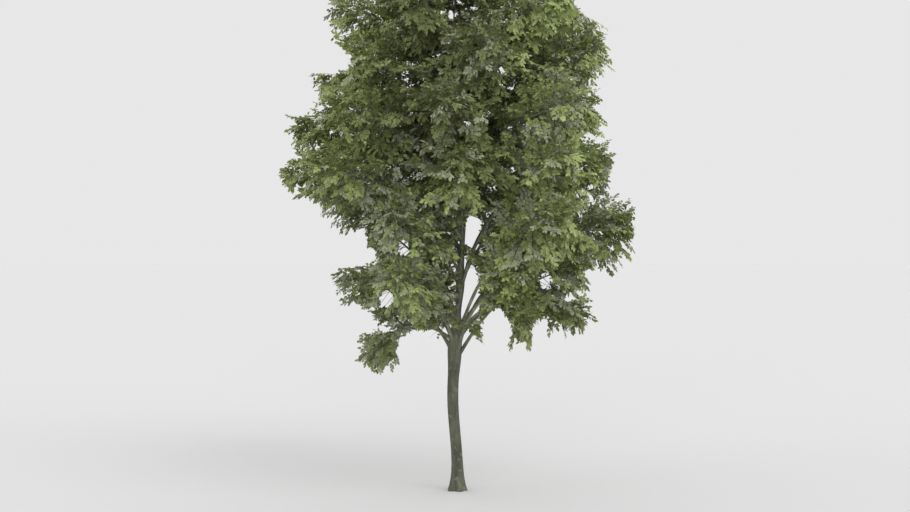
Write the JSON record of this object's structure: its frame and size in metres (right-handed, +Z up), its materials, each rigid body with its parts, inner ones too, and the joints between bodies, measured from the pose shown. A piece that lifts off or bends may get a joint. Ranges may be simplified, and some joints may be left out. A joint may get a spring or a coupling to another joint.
{
  "type": "american beech tree",
  "caption": "Whole broadleaf tree in summer leaf: smooth grey trunk with root flare, rising boughs and a tall ovoid crown of olive-green foliage, cut flat at ground level.",
  "frame": {"origin": "centre of the flat cut under the trunk at ground level", "axes": "+Z up along the trunk, +X to the right and +Y away to the back as the picture sees the tree"},
  "size_m": [12.5103, 11.5664, 19.9154],
  "materials": {
    "bark": "smooth matt grey bark",
    "foliage": "satin summer leaves"
  },
  "bodies": {
    "root": {"bough_flank_back_left": "bark", "bough_flank_back_right": "bark", "bough_flank_front_left": "bark", "bough_flank_front_right": "bark", "bough_flank_left": "bark", "bough_flank_right": "bark", "bough_low_back_left": "bark", "bough_low_back_right": "bark", "bough_low_front_left": "bark", "bough_low_front_right": "bark", "bough_low_left": "bark", "bough_low_right": "bark", "bough_skirt_front_right": "bark", "bough_skirt_left": "bark", "bough_skirt_right": "bark", "foliage_broad_back": "foliage", "foliage_broad_back_left": "foliage", "foliage_broad_front": "foliage", "foliage_broad_front_left": "foliage", "foliage_broad_front_right": "foliage", "foliage_broad_left": "foliage", "foliage_broad_right": "foliage", "foliage_flank_back_left": "foliage", "foliage_flank_back_right": "foliage", "foliage_flank_front_left": "foliage", "foliage_flank_front_right": "foliage", "foliage_flank_left": "foliage", "foliage_flank_right": "foliage", "foliage_high_back": "foliage", "foliage_high_back_left": "foliage", "foliage_high_front": "foliage", "foliage_high_front_right": "foliage", "foliage_high_left": "foliage", "foliage_high_right": "foliage", "foliage_low_back_left": "foliage", "foliage_low_back_right": "foliage", "foliage_low_front_left": "foliage", "foliage_low_front_right": "foliage", "foliage_low_left": "foliage", "foliage_low_right": "foliage", "foliage_middle_back": "foliage", "foliage_middle_back_left": "foliage", "foliage_middle_back_right": "foliage", "foliage_middle_front": "foliage", "foliage_middle_front_left": "foliage", "foliage_middle_front_right": "foliage", "foliage_middle_left": "foliage", "foliage_middle_right": "foliage", "foliage_skirt_front_right": "foliage", "foliage_skirt_left": "foliage", "foliage_skirt_right": "foliage", "foliage_top": "foliage", "foliage_upper_back": "foliage", "foliage_upper_back_right": "foliage", "foliage_upper_front": "foliage", "foliage_upper_front_left": "foliage", "foliage_upper_left": "foliage", "foliage_upper_right": "foliage", "trunk": "bark"}
  },
  "joints": []
}
